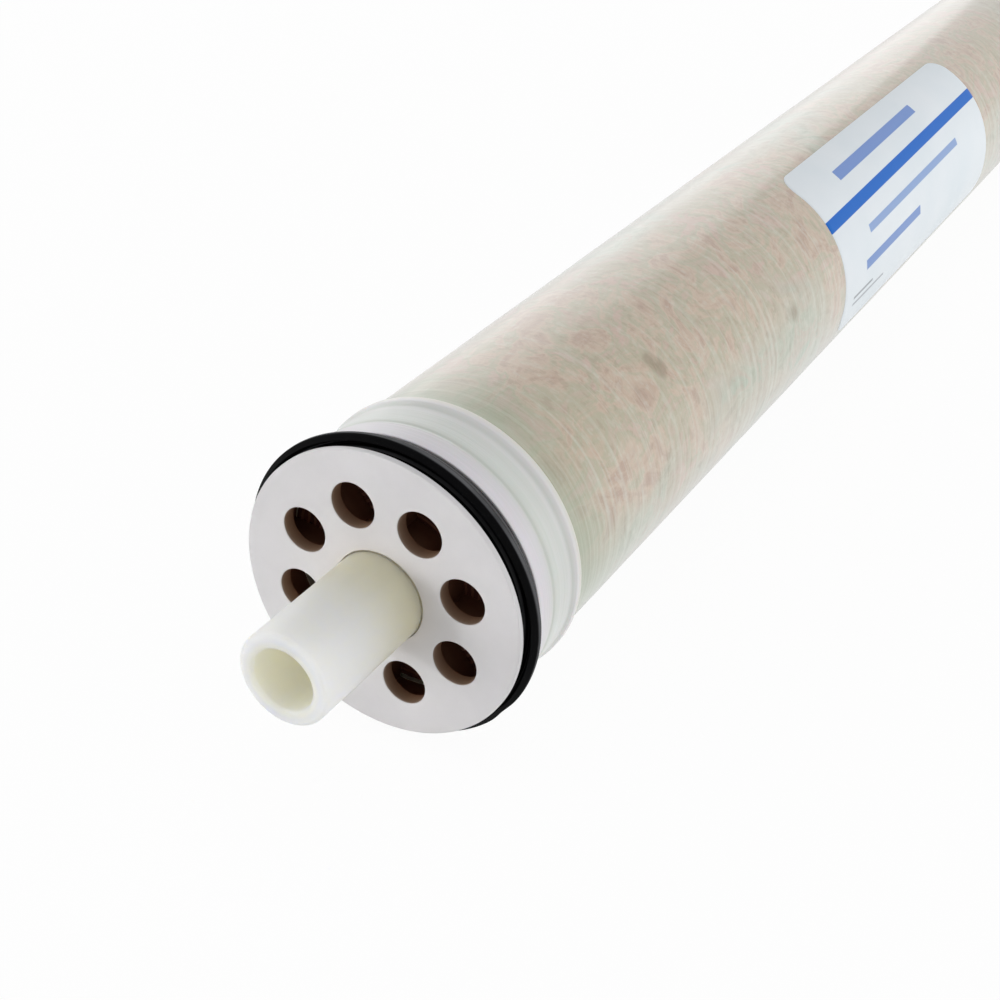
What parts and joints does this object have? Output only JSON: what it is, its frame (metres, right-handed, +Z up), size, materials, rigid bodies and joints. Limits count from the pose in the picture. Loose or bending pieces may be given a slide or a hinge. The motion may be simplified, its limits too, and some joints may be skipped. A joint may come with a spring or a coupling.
{
  "type": "spiral-wound reverse osmosis membrane element",
  "caption": "Spiral-wound reverse osmosis membrane element: perforated product tube, wound leaves, two perforated end caps, cup seal and glass-fibre shell.",
  "frame": {"origin": "on the element's axis, midway between the two tips of the product tube", "axes": "+Y along the axis from the feed end, with the cup seal, to the brine end; +Z up"},
  "size_m": [0.0648, 0.533, 0.0648],
  "materials": {
    "tube_plastic": "smooth cream moulded plastic",
    "cap_plastic": "satin pale grey moulded plastic",
    "seal_rubber": "matt black moulded rubber",
    "glass_fibre": "glass fibre wound in clear resin over tan leaves",
    "tape_film": "thin clear tape",
    "label_film": "white film with a blue stripe, no print",
    "membrane_sheet": "trimmed membrane edges, stained brown by the glue",
    "spacer_net": "extruded net"
  },
  "bodies": {
    "root": {"permeate_tube": "tube_plastic", "feed_end_cap": "cap_plastic", "brine_end_cap": "cap_plastic", "brine_seal": "seal_rubber", "glass_fibre_shell": "glass_fibre", "leaf_tape_wrap": "tape_film", "label_film": "label_film", "membrane_envelope_1": "membrane_sheet", "membrane_envelope_2": "membrane_sheet", "feed_spacer_1": "spacer_net", "feed_spacer_2": "spacer_net"}
  },
  "joints": []
}
